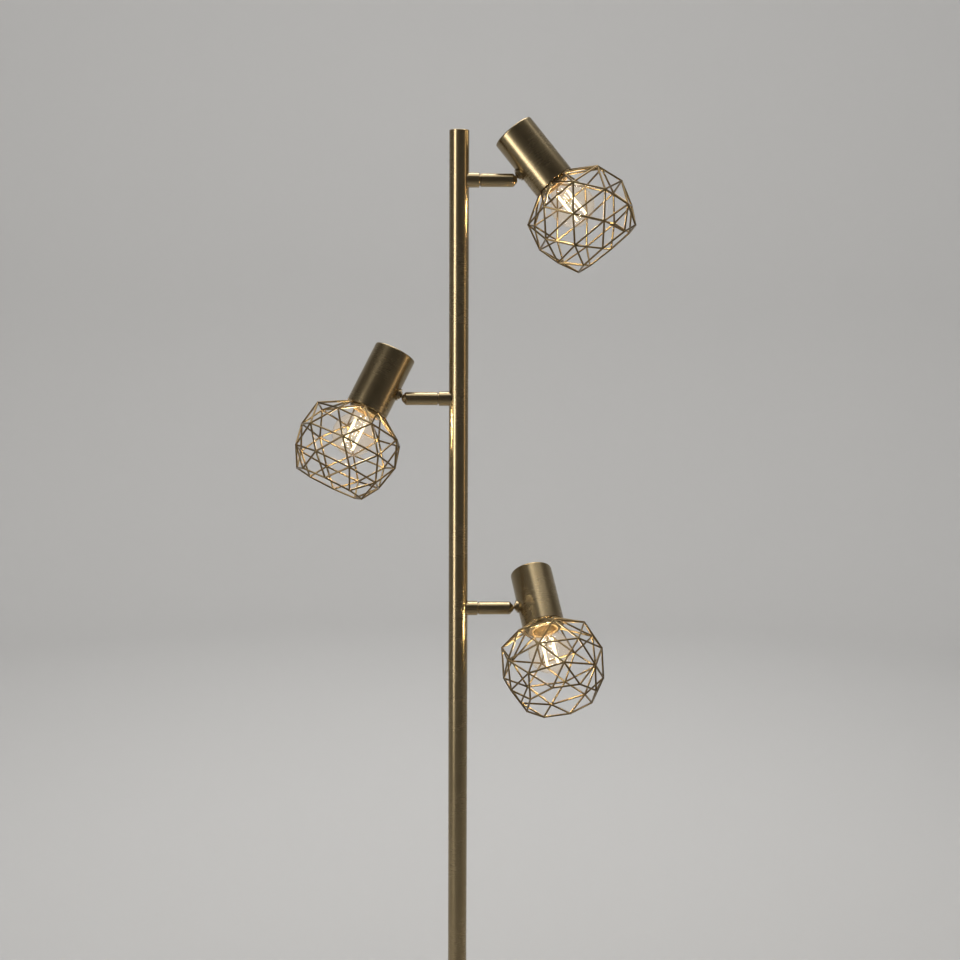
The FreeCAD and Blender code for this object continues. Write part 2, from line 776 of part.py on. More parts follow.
def holder_bracket(head):
    """Bent strap from the neck's stud to the lampholder's tail."""
    outside_bend = dims.strap_bend + dims.strap_wall
    body = new_body(f"holder_bracket_{head}")
    sketch = outline_sketch(body, "XZ_Plane", [
        (strap_face, -dims.strap_drop),
        (strap_inner, -dims.strap_drop),
        (strap_inner, dims.strap_rise - dims.strap_bend),
        Corner(strap_inner + dims.strap_bend, dims.strap_rise, dims.strap_bend, -1),
        (dims.strap_past, dims.strap_rise),
        (dims.strap_past, shelf_top),
        (strap_face + outside_bend, shelf_top),
        Corner(strap_face, shelf_top - outside_bend, outside_bend, 1),
    ])
    pad(body, sketch, dims.strap_width, middle=True)
    stud_hole = circle_sketch(body, "YZ_Plane", [(0, 0, dims.stud_od / 2 + dims.press_gap)])
    pocket(body, stud_hole, dims.can_od)
    lead_place = strap_inner + dims.stud_past + dims.lead_bend
    holes = [(0, 0, dims.tail_od / 2 + dims.press_gap), (lead_place, 0, dims.lead_hole_od / 2)]
    pocket(body, circle_sketch(body, "XY_Plane", holes), shelf_top + SAFE_CUT, towards_normal=True)
    body.Placement = can_place(head)
    return body


def lampholder(head):
    """Threaded tail, body with the bulb's socket, shoulder and open threaded sleeve."""
    top = dims.strap_rise
    tail_top = top + dims.tail_length
    neck_end = top - dims.holder_top_length
    sleeve_r = dims.holder_od / 2
    shoulder_top = can_mouth + dims.holder_shoulder
    socket_r = dims.socket_od / 2
    mouth_r = sleeve_r - dims.holder_wall
    rim_end = cap_start + dims.bulb_rim_length + dims.loose_gap
    top_r = dims.holder_top_od / 2
    body = turned_body(f"lampholder_{head}", [
        (dims.tail_bore / 2, tail_top),
        (dims.tail_bore / 2, contact_end),
        (socket_r, contact_end),
        (socket_r, rim_end),
        (mouth_r, rim_end),
        (mouth_r, sleeve_end),
        (sleeve_r, sleeve_end),
        (sleeve_r, can_mouth),
        (dims.holder_shoulder_od / 2, can_mouth),
        (dims.holder_shoulder_od / 2, shoulder_top),
        (sleeve_r, shoulder_top),
        (sleeve_r, neck_end - dims.holder_slope),
        (top_r, neck_end),
        (top_r, top - dims.holder_edge),
        Corner(top_r - dims.holder_edge, top, dims.holder_edge, 1),
        (dims.tail_od / 2, top),
        (dims.tail_od / 2, tail_top),
    ])
    body.Placement = can_place(head)
    return body


def holder_nut(head):
    hole = dims.tail_od / 2 + dims.press_gap
    body = hex_nut(f"holder_nut_{head}", dims.tail_nut_flats, hole, dims.tail_nut_height)
    body.Placement = can_place(head) * place(up=shelf_top)
    return body


def shade_ring(head):
    """Ring on the sleeve that clamps the cage's plate to the can."""
    outer = dims.ring_od / 2
    bottom = plate_bottom - dims.ring_height
    inner = dims.holder_od / 2 + dims.press_gap
    body = turned_body(f"shade_ring_{head}", [
        (inner, bottom),
        (outer - dims.ring_edge, bottom),
        (outer, bottom + dims.ring_edge),
        (outer, plate_bottom),
        (inner, plate_bottom),
    ])
    body.Placement = can_place(head)
    return body


# Cage: the welded wires are the piece of most skill ----------------------------------------

def cage_rings():
    """Each ring of crossings as radius, height from the can's neck and twist in half steps."""
    return [
        (dims.root_od / 2, cage_middle + dims.root_height, 1),
        (dims.upper_ring_od / 2, cage_middle + dims.upper_ring_height, 0),
        (dims.middle_ring_od / 2, cage_middle, 1),
        (dims.lower_ring_od / 2, cage_middle - dims.lower_ring_drop, 0),
        (dims.open_ring_od / 2, cage_middle - dims.open_ring_drop, 1),
    ]


def ring_points(radius, height, twist):
    """The crossings of one ring of wire."""
    sides = round(float(dims.cage_sides))
    points = []
    for step in range(sides):
        angle = (step + twist / 2) * 2 * math.pi / sides
        points.append(FreeCAD.Vector(
            float(radius) * math.cos(angle), float(radius) * math.sin(angle), float(height)))
    return points


def cage_wires():
    """The rings and the zigzags between them, each wire as the two crossings it joins."""
    rings = [ring_points(*ring) for ring in cage_rings()]
    twists = [ring[2] for ring in cage_rings()]
    wires = []
    for ring in rings[1:]:
        wires += [(ring[step - 1], ring[step]) for step in range(len(ring))]
    for upper, lower, twist in zip(rings, rings[1:], twists):
        for step, point in enumerate(upper):
            beside = (step + 1) % len(lower) if twist else step - 1
            wires.append((point, lower[step]))
            wires.append((point, lower[beside]))
    return wires


def wire_between(start, end):
    """A straight wire with flat sides, which stay true at every fineness of mesh."""
    along = (end - start).normalize()
    side = along.cross(FreeCAD.Vector(0, 0, 1)).normalize() * float(dims.wire_od / 2)
    turn = FreeCAD.Rotation(along, FULL_TURN / WIRE_SIDES)
    corners = []
    for _step in range(WIRE_SIDES):
        corners.append(start + side)
        side = turn.multVec(side)
    return Part.Face(Part.makePolygon(corners + corners[:1])).extrude(end - start)


def cage_shape():
    """Plate with the wires welded to it and to each other."""
    plate_r = float(dims.plate_od / 2)
    hole_r = float(dims.holder_od / 2 + dims.press_gap)
    height = float(dims.plate_height)
    seat = FreeCAD.Vector(0, 0, float(plate_bottom))
    plate = Part.makeCylinder(plate_r, height, seat)
    plate = plate.cut(Part.makeCylinder(hole_r, height, seat))
    return plate.fuse([wire_between(start, end) for start, end in cage_wires()])


def cage(head, shape):
    item = doc.addObject("Part::Feature", f"cage_{head}")
    item.Label = f"cage_{head}"
    item.Shape = shape.copy()
    item.Placement = can_place(head) * place(angle=per_head("cage_turn", head))
    return item


# Bulb -------------------------------------------------------------------------------------

def bulb_cap(head):
    """Screw cap with its contact and the flared rim that the glass sits on."""
    cap_r = dims.bulb_cap_od / 2
    rim_r = dims.bulb_rim_od / 2
    contact_r = dims.bulb_contact_od / 2
    body = turned_body(f"bulb_cap_{head}", [
        (0, cap_start),
        (rim_r, cap_start),
        (rim_r, cap_start + dims.bulb_rim_length / 2),
        (cap_r, cap_start + dims.bulb_rim_length),
        (cap_r, cap_end - dims.bulb_contact),
        (contact_r, cap_end),
        (contact_r, contact_end),
        (0, contact_end),
    ])
    body.Placement = can_place(head)
    return body


def bulb_glass(head):
    """Clear globe with its neck, blown from one tube."""
    wall = dims.glass_wall
    globe_r = dims.globe_od / 2
    neck_r = dims.glass_neck_od / 2
    blend = dims.glass_blend
    side = neck_r + blend
    rise = leg(globe_r + blend, side)
    share = globe_r / (globe_r + blend)
    inner_share = (globe_r - wall) / (globe_r + blend)
    body = turned_body(f"bulb_glass_{head}", [
        (neck_r - wall, cap_start),
        (neck_r - wall, globe_middle + rise),
        Corner(side * inner_share, globe_middle + rise * inner_share, blend + wall, 1),
        Corner(0, globe_tip + wall, globe_r - wall, -1),
        (0, globe_tip),
        Corner(side * share, globe_middle + rise * share, globe_r, 1),
        Corner(neck_r, globe_middle + rise, blend, -1),
        (neck_r, cap_start),
    ])
    body.Placement = can_place(head)
    return body


def rod_between(start, end, thickness):
    """A round rod between two places given as across, depth and up."""
    start = FreeCAD.Vector(*[float(value) for value in start])
    end = FreeCAD.Vector(*[float(value) for value in end])
    return Part.makeCylinder(float(thickness / 2), (end - start).Length, start, end - start)


def filament_shape():
    """Stem, a filament on each side of it and the feed wires at their ends."""
    shape = rod_between((0, 0, filament_bottom), (0, 0, cap_start), dims.stem_od)
    rods = []
    for across in (dims.filament_pitch / 2, -dims.filament_pitch / 2):
        rods.append(rod_between((across, 0, filament_bottom), (across, 0, filament_top),
                                dims.filament_od))
        for level in (filament_bottom + dims.feed_od, filament_top - dims.feed_od):
            rods.append(rod_between((0, 0, level), (across, 0, level), dims.feed_od))
    return shape.fuse(rods)


def bulb_filament(head, shape):
    item = doc.addObject("Part::Feature", f"bulb_filament_{head}")
    item.Label = f"bulb_filament_{head}"
    item.Shape = shape.copy()
    item.Placement = can_place(head) * place(angle=per_head("bulb_turn", head))
    return item


# Wiring that the lamp holds all the way ---------------------------------------------------

def tube_along(points, bend, thickness):
    """A round tube along straight runs that are joined by tangent arcs."""
    points = [FreeCAD.Vector(*[float(value) for value in point]) for point in points]
    bend = float(bend)
    edges = []
    start = points[0]
    for before, corner, after in zip(points, points[1:], points[2:]):
        back = (before - corner).normalize()
        ahead = (after - corner).normalize()
        half_turn = (math.pi - back.getAngle(ahead)) / 2
        enter = corner + back * bend * math.tan(half_turn)
        leave = corner + ahead * bend * math.tan(half_turn)
        inward = (back + ahead).normalize()
        centre = corner + inward * bend / math.cos(half_turn)
        edges.append(Part.LineSegment(start, enter).toShape())
        edges.append(Part.Arc(enter, centre - inward * bend, leave).toShape())
        start = leave
    edges.append(Part.LineSegment(start, points[-1]).toShape())
    path = Part.Wire(edges)
    radius = float(thickness / 2)
    ring = Part.makeCircle(radius, points[0], points[1] - points[0])
    tube = path.makePipeShell([Part.Wire(ring)], True, False)
    expected = math.pi * radius ** 2 * path.Length
    if abs(tube.Volume - expected) > expected / 100:
        raise RuntimeError("a wiring tube has the wrong volume")
    return tube


def wire_trunk():
    """From the inlet to the top arm, with a branch out through each arm."""
    aside = -dims.trunk_aside
    inlet = dims.base_od / 2 - dims.cover_wall - dims.gland_lip - dims.loose_gap * 2
    top = arm_height(HEADS[0]) + dims.trunk_od / 2
    shape = tube_along([(0, inlet, dims.trunk_height), (0, aside, dims.trunk_height),
                        (0, aside, top)], dims.trunk_bend, dims.trunk_od)
    branch_end = dims.ball_reach - dims.cup_length - dims.loose_gap
    branches = []
    for head in HEADS:
        side = arm_side(head)
        height = arm_height(head)
        branches.append(rod_between((0, -dims.branch_aside, height),
                                    (branch_end * side, -dims.branch_aside, height),
                                    dims.branch_od))
    item = doc.addObject("Part::Feature", "wire_trunk")
    item.Label = "wire_trunk"
    item.Shape = shape.fuse(branches)
    return item


def head_lead(head):
    """From the ball through the neck, up past the strap and down into the lampholder."""
    rise_at = strap_inner + dims.stud_past + dims.lead_bend
    item = doc.addObject("Part::Feature", f"head_lead_{head}")
    item.Label = f"head_lead_{head}"
    item.Shape = tube_along([
        (-dims.can_offset - dims.lead_start, 0, 0),
        (rise_at, 0, 0),
        (rise_at, 0, dims.lead_top),
        (0, 0, dims.lead_top),
        (0, 0, shelf_top),
    ], dims.lead_bend, dims.branch_od)
    item.Placement = can_place(head)
    return item


def build():
    pieces = [base_pad(), base_weight(), base_cover(), base_nipple(), base_washer(), base_nut(),
              cable_gland(), pole_lower(), pole_coupler(), pole_upper(), pole_cap(), wire_trunk()]
    head_pieces = (arm_collar, swivel_screw, arm_tube, joint_cup, neck, neck_washer, can,
                   holder_bracket, lampholder, holder_nut, shade_ring, bulb_cap, bulb_glass,
                   head_lead)
    welded = cage_shape()
    filaments = filament_shape()
    for head in HEADS:
        pieces += [make(head) for make in head_pieces]
        pieces.append(cage(head, welded))
        pieces.append(bulb_filament(head, filaments))
    return pieces


def check_and_export(pieces):
    """Nothing is written unless every object computed and every shape is sound."""
    doc.recompute()
    for item in doc.Objects:
        bad = [word for word in item.State if word in ("Invalid", "Error")]
        if bad:
            raise RuntimeError(f"{item.Name} is {bad}")
    for piece in pieces:
        if piece.Shape.isNull() or not piece.Shape.isValid():
            raise RuntimeError(f"{piece.Label} has no sound shape")
    os.makedirs("parts", exist_ok=True)
    for piece in pieces:
        piece.Shape.exportStep(f"parts/{piece.Label}.step")
    print(len(pieces), "pieces written")


check_and_export(build())
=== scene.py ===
import math

import bmesh
import bpy
from mathutils import Matrix, Vector


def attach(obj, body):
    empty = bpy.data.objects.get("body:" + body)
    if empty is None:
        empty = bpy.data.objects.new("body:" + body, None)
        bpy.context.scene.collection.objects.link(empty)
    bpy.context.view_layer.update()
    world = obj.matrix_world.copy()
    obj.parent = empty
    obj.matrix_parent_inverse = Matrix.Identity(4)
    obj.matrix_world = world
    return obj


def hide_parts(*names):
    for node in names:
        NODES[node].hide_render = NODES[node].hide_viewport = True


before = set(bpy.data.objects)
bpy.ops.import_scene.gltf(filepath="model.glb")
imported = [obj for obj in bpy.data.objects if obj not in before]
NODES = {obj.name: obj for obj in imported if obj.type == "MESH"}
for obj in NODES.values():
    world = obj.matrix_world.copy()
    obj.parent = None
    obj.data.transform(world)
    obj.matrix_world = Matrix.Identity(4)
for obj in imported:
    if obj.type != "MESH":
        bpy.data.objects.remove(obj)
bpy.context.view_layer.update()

HEADS = (1, 2, 3)
LEFT_HEAD = 2
MM = 0.001

# Places of the heads, as in the part's own sizes
POLE_TOP = 1550 * MM
TOP_TO_ARM = 49 * MM
ARM_PITCH = 220 * MM
BALL_REACH = 53 * MM
CAN_OFFSET = 32 * MM

# Turns of the heads at rest, in degrees
SWIVEL = {1: -10, 2: 16, 3: -42}
TILT = {1: 38.5, 2: 26, 3: 9.5}
CAGE_TURN = {1: 5, 2: 20, 3: 3.5}
BULB_TURN = {1: -13, 2: 8, 3: -10}

# Heights on the can's axis, from the neck
CAN_MOUTH = -27 * MM
PLATE_BOTTOM = -28 * MM
CAGE_MIDDLE = -70.5 * MM
GLOBE_MIDDLE = -57.5 * MM


def turned(degrees, axis):
    return Matrix.Rotation(math.radians(degrees), 4, axis)


def arm_frame(head):
    """On the pole's axis at the arm's height, +X out along the arm."""
    height = POLE_TOP - TOP_TO_ARM - ARM_PITCH * (head - 1)
    side = turned(180 if head == LEFT_HEAD else 0, "Z")
    return Matrix.Translation((0, 0, height)) @ side @ turned(SWIVEL[head], "X")


def can_frame(head):
    """On the can's axis at the height of its neck, +Z up the can."""
    ball = arm_frame(head) @ Matrix.Translation((BALL_REACH, 0, 0)) @ turned(-TILT[head], "Y")
    return ball @ Matrix.Translation((CAN_OFFSET, 0, 0))


# Node helpers -------------------------------------------------------------------------------

def new_material(name):
    """An empty material, with its node tree and its output."""
    material = bpy.data.materials.new(name)
    material.use_nodes = True
    tree = material.node_tree
    tree.nodes.clear()
    output = tree.nodes.new("ShaderNodeOutputMaterial")
    return material, tree, output


def add(tree, kind, **values):
    node = tree.nodes.new(kind)
    for key, value in values.items():
        setattr(node, key, value)
    return node


def coordinates(tree, place=None):
    """Object coordinates, measured from a piece's own axis where its place is given."""
    source = add(tree, "ShaderNodeTexCoord").outputs["Object"]
    if place is None:
        return source
    local = add(tree, "ShaderNodeMapping", vector_type="TEXTURE")
    local.inputs["Location"].default_value = place.to_translation()
    local.inputs["Rotation"].default_value = place.to_euler()
    tree.links.new(source, local.inputs["Vector"])
    return local.outputs["Vector"]


def stretched(tree, vector, scale):
    stretch = add(tree, "ShaderNodeMapping")
    stretch.inputs["Scale"].default_value = scale
    tree.links.new(vector, stretch.inputs["Vector"])
    return stretch.outputs["Vector"]


def noise(tree, vector, scale, detail=2.0):
    node = add(tree, "ShaderNodeTexNoise")
    node.inputs["Scale"].default_value = scale
    node.inputs["Detail"].default_value = detail
    tree.links.new(vector, node.inputs["Vector"])
    return node.outputs["Fac"]


def ramp(tree, factor, low_stop, low_colour, high_stop, high_colour):
    """Runs from one colour at the low stop to the other at the high stop."""
    node = add(tree, "ShaderNodeValToRGB")
    low, high = node.color_ramp.elements
    low.position, low.color = low_stop, (*low_colour, 1.0)
    high.position, high.color = high_stop, (*high_colour, 1.0)
    tree.links.new(factor, node.inputs["Fac"])
    return node.outputs["Color"]


def span(tree, factor, low_value, high_value):
    """Maps a factor of 0 to 1 onto a range."""
    node = add(tree, "ShaderNodeMapRange")
    node.inputs["To Min"].default_value = low_value
    node.inputs["To Max"].default_value = high_value
    tree.links.new(factor, node.inputs["Value"])
    return node.outputs["Result"]


def average(tree, first, second, share):
    """A blend of two factors, with this share of the second."""
    node = add(tree, "ShaderNodeMix")
    node.inputs["Factor"].default_value = share
    tree.links.new(first, node.inputs["A"])
    tree.links.new(second, node.inputs["B"])
    return node.outputs["Result"]


def relief(tree, shader, height, strength, depth):
    bump = add(tree, "ShaderNodeBump")
    bump.inputs["Strength"].default_value = strength
    bump.inputs["Distance"].default_value = depth
    tree.links.new(height, bump.inputs["Height"])
    tree.links.new(bump.outputs["Normal"], shader.inputs["Normal"])


def toned(tree, shader, tone, dark, light, roughness, spread):
    """Colour and roughness of a shader from one uneven tone, which mostly lies near a half."""
    colour = ramp(tree, tone, TONE_LOW, dark, TONE_HIGH, light)
    tree.links.new(colour, shader.inputs["Base Color"])
    rough = span(tree, tone, roughness - spread, roughness + spread)
    tree.links.new(rough, shader.inputs["Roughness"])


# Materials ----------------------------------------------------------------------------------

TONE_LOW, TONE_HIGH = 0.3, 0.7

BRUSH_SCALE = 2600.0                  # a line about every 0.4 mm
BRUSH_STRETCH = (0.04, 0.04, 1.0)     # draws the lines out round the axis
BRUSH_SHARE = 0.3                     # of the tone; the rest is patina
BRUSH_SPREAD = 0.03
BRUSH_STRENGTH = 0.05
BRUSH_DEPTH = 0.05 * MM
PATINA_SCALE = 28.0
PATINA_DETAIL = 3.0

MOTTLE_SCALE = 60.0
MOTTLE_DETAIL = 4.0
MOTTLE_SPREAD = 0.05
MOTTLE_DEPTH = 0.2 * MM

GLASS_DARK, GLASS_PALE = (0.965, 0.95, 0.925), (0.985, 0.975, 0.955)
GLASS_TINT_SCALE = 30.0
GLASS_ROUGHNESS = 0.04
GLASS_EDGE_IOR = 1.3                  # a faint edge, as on a thin wall
# Colour of the painted glow on the bulb's glass
GLASS_GLOW_COLOUR = (1.0, 0.68, 0.36)

GLOW_BLEND = 0.4
GLOW_CORE_STOP, GLOW_RIM_STOP = 0.2, 0.9


def brushed(name, dark, light, roughness, place=None):
    """Satin metal brushed round its axis, with a slightly uneven tone."""
    material, tree, output = new_material(name)
    shader = add(tree, "ShaderNodeBsdfPrincipled")
    shader.inputs["Metallic"].default_value = 1.0
    local = coordinates(tree, place)
    lines = noise(tree, stretched(tree, local, BRUSH_STRETCH), BRUSH_SCALE)
    patina = noise(tree, local, PATINA_SCALE, PATINA_DETAIL)
    tone = average(tree, patina, lines, BRUSH_SHARE)
    toned(tree, shader, tone, dark, light, roughness, BRUSH_SPREAD)
    relief(tree, shader, lines, BRUSH_STRENGTH, BRUSH_DEPTH)
    tree.links.new(shader.outputs["BSDF"], output.inputs["Surface"])
    return material


def plain(name, dark, light, roughness, scale=MOTTLE_SCALE, bump=0.0):
    """Plastic, rubber or paint with a slight mottle."""
    material, tree, output = new_material(name)
    shader = add(tree, "ShaderNodeBsdfPrincipled")
    mottle = noise(tree, coordinates(tree), scale, MOTTLE_DETAIL)
    toned(tree, shader, mottle, dark, light, roughness, MOTTLE_SPREAD)
    if bump:
        relief(tree, shader, mottle, bump, MOTTLE_DEPTH)
    tree.links.new(shader.outputs["BSDF"], output.inputs["Surface"])
    return material


def clear_glass(name, glow_strength):
    """Thin clear glass: faint reflections, what lies behind it, and a faint painted warm glow
    of its own, standing in for the glass lit by its filament.
    """
    material, tree, output = new_material(name)
    tint = ramp(tree, noise(tree, coordinates(tree), GLASS_TINT_SCALE),
                0.0, GLASS_DARK, 1.0, GLASS_PALE)
    through = add(tree, "ShaderNodeBsdfTransparent")
    tree.links.new(tint, through.inputs["Color"])
    shine = add(tree, "ShaderNodeBsdfGlossy")
    shine.inputs["Roughness"].default_value = GLASS_ROUGHNESS
    edge = add(tree, "ShaderNodeFresnel")
    edge.inputs["IOR"].default_value = GLASS_EDGE_IOR
    face = add(tree, "ShaderNodeNewGeometry")
    outside = add(tree, "ShaderNodeMath", operation="SUBTRACT")
    outside.inputs[0].default_value = 1.0
    tree.links.new(face.outputs["Backfacing"], outside.inputs[1])
    share = add(tree, "ShaderNodeMath", operation="MULTIPLY")
    tree.links.new(edge.outputs["Fac"], share.inputs[0])
    tree.links.new(outside.outputs["Value"], share.inputs[1])
    mix = add(tree, "ShaderNodeMixShader")
    tree.links.new(share.outputs["Value"], mix.inputs["Fac"])
    tree.links.new(through.outputs["BSDF"], mix.inputs[1])
    tree.links.new(shine.outputs["BSDF"], mix.inputs[2])
    # Painted glow: a weak warm emission on the glass itself, standing in for the filament's
    # light scattered in the glass
    painted_glow = add(tree, "ShaderNodeEmission")
    painted_glow.inputs["Color"].default_value = (*GLASS_GLOW_COLOUR, 1.0)
    painted_glow.inputs["Strength"].default_value = glow_strength
    both = add(tree, "ShaderNodeAddShader")
    tree.links.new(mix.outputs["Shader"], both.inputs[0])
    tree.links.new(painted_glow.outputs["Emission"], both.inputs[1])
    tree.links.new(both.outputs["Shader"], output.inputs["Surface"])
    return material


def glowing(name, core, rim, seen, power):
    """A lit filament: pale when looked at, and strong enough to light what is round it."""
    material, tree, output = new_material(name)
    light = add(tree, "ShaderNodeEmission")
    facing = add(tree, "ShaderNodeLayerWeight")
    facing.inputs["Blend"].default_value = GLOW_BLEND
    colour = ramp(tree, facing.outputs["Facing"], GLOW_CORE_STOP, core, GLOW_RIM_STOP, rim)
    tree.links.new(colour, light.inputs["Color"])
    path = add(tree, "ShaderNodeLightPath")
    strength = span(tree, path.outputs["Is Camera Ray"], power, seen)
    tree.links.new(strength, light.inputs["Strength"])
    tree.links.new(light.outputs["Emission"], output.inputs["Surface"])
    return material


BRASS = ((0.325, 0.252, 0.143), (0.375, 0.294, 0.172))
SATIN = 0.27
ARM_SATIN = 0.24


def brass(name, place=None, roughness=SATIN):
    return brushed(name, *BRASS, roughness, place)


POLE_BRASS = brass("satin_brass")
# Darker than the brass of the cans: partly the wire's own darker bronze, partly painted shade,
# so that the front wires look shaded
WIRE_WITH_PAINTED_SHADE = brushed("brass_wire_painted_shade", (0.17, 0.12, 0.057), (0.25, 0.18, 0.09), 0.3)
ZINC = brushed("zinc_plate", (0.34, 0.35, 0.34), (0.5, 0.51, 0.5), 0.33)
CAP_METAL = brushed("bulb_cap_brass", (0.5, 0.4, 0.2), (0.65, 0.54, 0.3), 0.22)
FEED = brushed("feed_wire", (0.42, 0.4, 0.36), (0.55, 0.53, 0.48), 0.25)
IRON = plain("painted_iron", (0.015, 0.015, 0.015), (0.03, 0.03, 0.03), 0.6, 400.0, 0.3)
PAD = plain("pad_rubber", (0.012, 0.012, 0.012), (0.022, 0.022, 0.022), 0.85, 900.0, 0.3)
BLACK = plain("black_plastic", (0.01, 0.01, 0.01), (0.02, 0.02, 0.02), 0.42)
PHENOLIC = plain("phenolic", (0.15, 0.1, 0.048), (0.21, 0.145, 0.07), 0.42)
NYLON = plain("nylon", (0.68, 0.64, 0.56), (0.78, 0.75, 0.67), 0.45)
WIRING = plain("wiring", (0.55, 0.48, 0.32), (0.66, 0.6, 0.42), 0.45)
# The bulb's glass carries a faint painted warm glow of this strength
GLASS = clear_glass("clear_glass", glow_strength=0.035)
FILAMENT = glowing("lit_filament", (1.0, 0.9, 0.62), (1.0, 0.66, 0.28), seen=2.4, power=190.0)

LOOKS = {
    "base_pad": PAD, "base_weight": IRON, "base_cover": POLE_BRASS, "base_nipple": ZINC,
    "base_washer": ZINC, "base_nut": ZINC, "cable_gland": BLACK, "pole_lower": POLE_BRASS,
    "pole_coupler": ZINC, "pole_upper": POLE_BRASS, "pole_cap": POLE_BRASS,
    "wire_trunk": WIRING, "swivel_screw": ZINC, "joint_cup": NYLON, "holder_bracket": ZINC,
    "lampholder": PHENOLIC, "holder_nut": ZINC, "cage": WIRE_WITH_PAINTED_SHADE, "bulb_cap": CAP_METAL,
    "bulb_glass": GLASS, "bulb_filament": FILAMENT, "head_lead": WIRING,
}
ON_ARM = ("arm_collar", "arm_tube")
ON_CAN = ("can", "neck", "neck_washer", "shade_ring")


def paint(piece, material):
    if not piece.material_slots:
        piece.data.materials.append(None)
    for slot in piece.material_slots:
        slot.link = "OBJECT"
        slot.material = material


def own_looks():
    """Brass for the turned pieces on each arm and can, brushed round their own axis."""
    looks = {}
    for head in HEADS:
        along_arm = arm_frame(head) @ turned(90, "Y")
        on_arm = brass(f"satin_brass_arm_{head}", along_arm, ARM_SATIN)
        on_can = brass(f"satin_brass_can_{head}", can_frame(head))
        looks.update({f"{stem}_{head}": on_arm for stem in ON_ARM})
        looks.update({f"{stem}_{head}": on_can for stem in ON_CAN})
    return looks


def without_head(name):
    return name.rstrip("123").rstrip("_")


OWN_LOOKS = own_looks()
for node_name, node_object in NODES.items():
    own_look = OWN_LOOKS.get(node_name)
    paint(node_object, own_look or LOOKS[without_head(node_name)])


# Mesh helpers -------------------------------------------------------------------------------

TUBE_SIDES = 14
BALL_RINGS = 8
TURN_STEPS = 96
RIBBED = True


def add_rod(mesh, start, end, radius, capped=False):
    """A round bar from start to end, added to a bmesh."""
    start, end = Vector(start), Vector(end)
    along = end - start
    turn = along.to_track_quat("Z", "Y").to_matrix().to_4x4()
    bmesh.ops.create_cone(mesh, cap_ends=capped, segments=TUBE_SIDES, radius1=radius,
                          radius2=radius, depth=along.length,
                          matrix=Matrix.Translation((start + end) / 2) @ turn)


def add_ball(mesh, middle, radius):
    bmesh.ops.create_uvsphere(mesh, u_segments=TUBE_SIDES, v_segments=BALL_RINGS,
                              radius=radius, matrix=Matrix.Translation(middle))


def add_turned(mesh, outline, steps=TURN_STEPS, ribs=0, rib_depth=0.0, closed=True):
    """An outline of (radius, height) points, or (radius, height, RIBBED), turned round Z."""
    loops = []
    for radius, height, *ribbed in outline:
        loop = []
        for step in range(steps):
            angle = step * 2 * math.pi / steps
            dip = rib_depth * (1 - math.cos(angle * ribs)) / 2 if ribbed else 0
            loop.append(mesh.verts.new(((radius - dip) * math.cos(angle),
                                        (radius - dip) * math.sin(angle), height)))
        loops.append(loop)
    pairs = zip(loops, loops[1:] + loops[:1]) if closed else zip(loops, loops[1:])
    for lower, upper in pairs:
        for step in range(steps):
            after = (step + 1) % steps
            mesh.faces.new((lower[step], lower[after], upper[after], upper[step]))


def as_object(mesh, name, material, place=Matrix()):
    """The bmesh as a smooth object of the scene, its place baked into the mesh."""
    bmesh.ops.recalc_face_normals(mesh, faces=mesh.faces)
    mesh.transform(place)
    data = bpy.data.meshes.new(name)
    mesh.to_mesh(data)
    mesh.free()
    data.polygons.foreach_set("use_smooth", [True] * len(data.polygons))
    piece = bpy.data.objects.new(name, data)
    bpy.context.collection.objects.link(piece)
    paint(piece, material)
    return piece


def finish_piece(mesh, name, place, material, head, stem, sharp_angle=None):
    """The bmesh as a piece that rides on a head and stands for its node of this stem."""
    piece = as_object(mesh, name, material, place)
    if sharp_angle is not None:
        piece.data.set_sharp_from_angle(angle=math.radians(sharp_angle))
    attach(piece, f"head_{head}")
    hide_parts(f"{stem}_{head}")


# Cage of smooth round wires with a small weld at each crossing -------------------------------

CAGE_SIDES = 8
WIRE_RADIUS = 0.98 * MM
WELD_RADIUS = 1.08 * MM
WELD_INSET = 0.3 * MM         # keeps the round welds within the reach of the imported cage
PLATE_RADIUS = 21.6 * MM
PLATE_HOLE = 13.85 * MM
PLATE_EDGE = 0.25 * MM
PLATE_SHARP = 30              # degrees
RINGS = [                     # radius, height above the cage's middle, twist in half steps
    (20.3 * MM, 42.3 * MM, 1),
    (48.5 * MM, 24.6 * MM, 0),
    (53.4 * MM, 0.0, 1),
    (48.7 * MM, -23.8 * MM, 0),
    (37.0 * MM, -42.8 * MM, 1),
]


def ring_points(radius, height, twist):
    points = []
    reach = radius - WELD_INSET
    for step in range(CAGE_SIDES):
        angle = (step + twist / 2) * 2 * math.pi / CAGE_SIDES
        points.append(Vector((reach * math.cos(angle), reach * math.sin(angle), height)))
    return points


def cage_layout():
    """The wires as pairs of crossings, and all crossings.  The plate carries the top ring."""
    rings = [ring_points(*ring) for ring in RINGS]
    wires = []
    for ring in rings[1:]:
        wires += [(ring[step - 1], ring[step]) for step in range(CAGE_SIDES)]
    for (_radius, _height, twist), upper, lower in zip(RINGS, rings, rings[1:]):
        for step, point in enumerate(upper):
            beside = (step + 1) % CAGE_SIDES if twist else step - 1
            wires.append((point, lower[step]))
            wires.append((point, lower[beside]))
    return wires, [point for ring in rings for point in ring]


def make_cage_wires(head):
    turn = turned(CAGE_TURN[head], "Z")
    middle = can_frame(head) @ Matrix.Translation((0, 0, CAGE_MIDDLE)) @ turn
    wires, crossings = cage_layout()
    mesh = bmesh.new()
    for start, end in wires:
        add_rod(mesh, start, end, WIRE_RADIUS)
    for point in crossings:
        add_ball(mesh, point, WELD_RADIUS)
    finish_piece(mesh, f"cage_wires_{head}", middle, WIRE_WITH_PAINTED_SHADE, head, "cage")


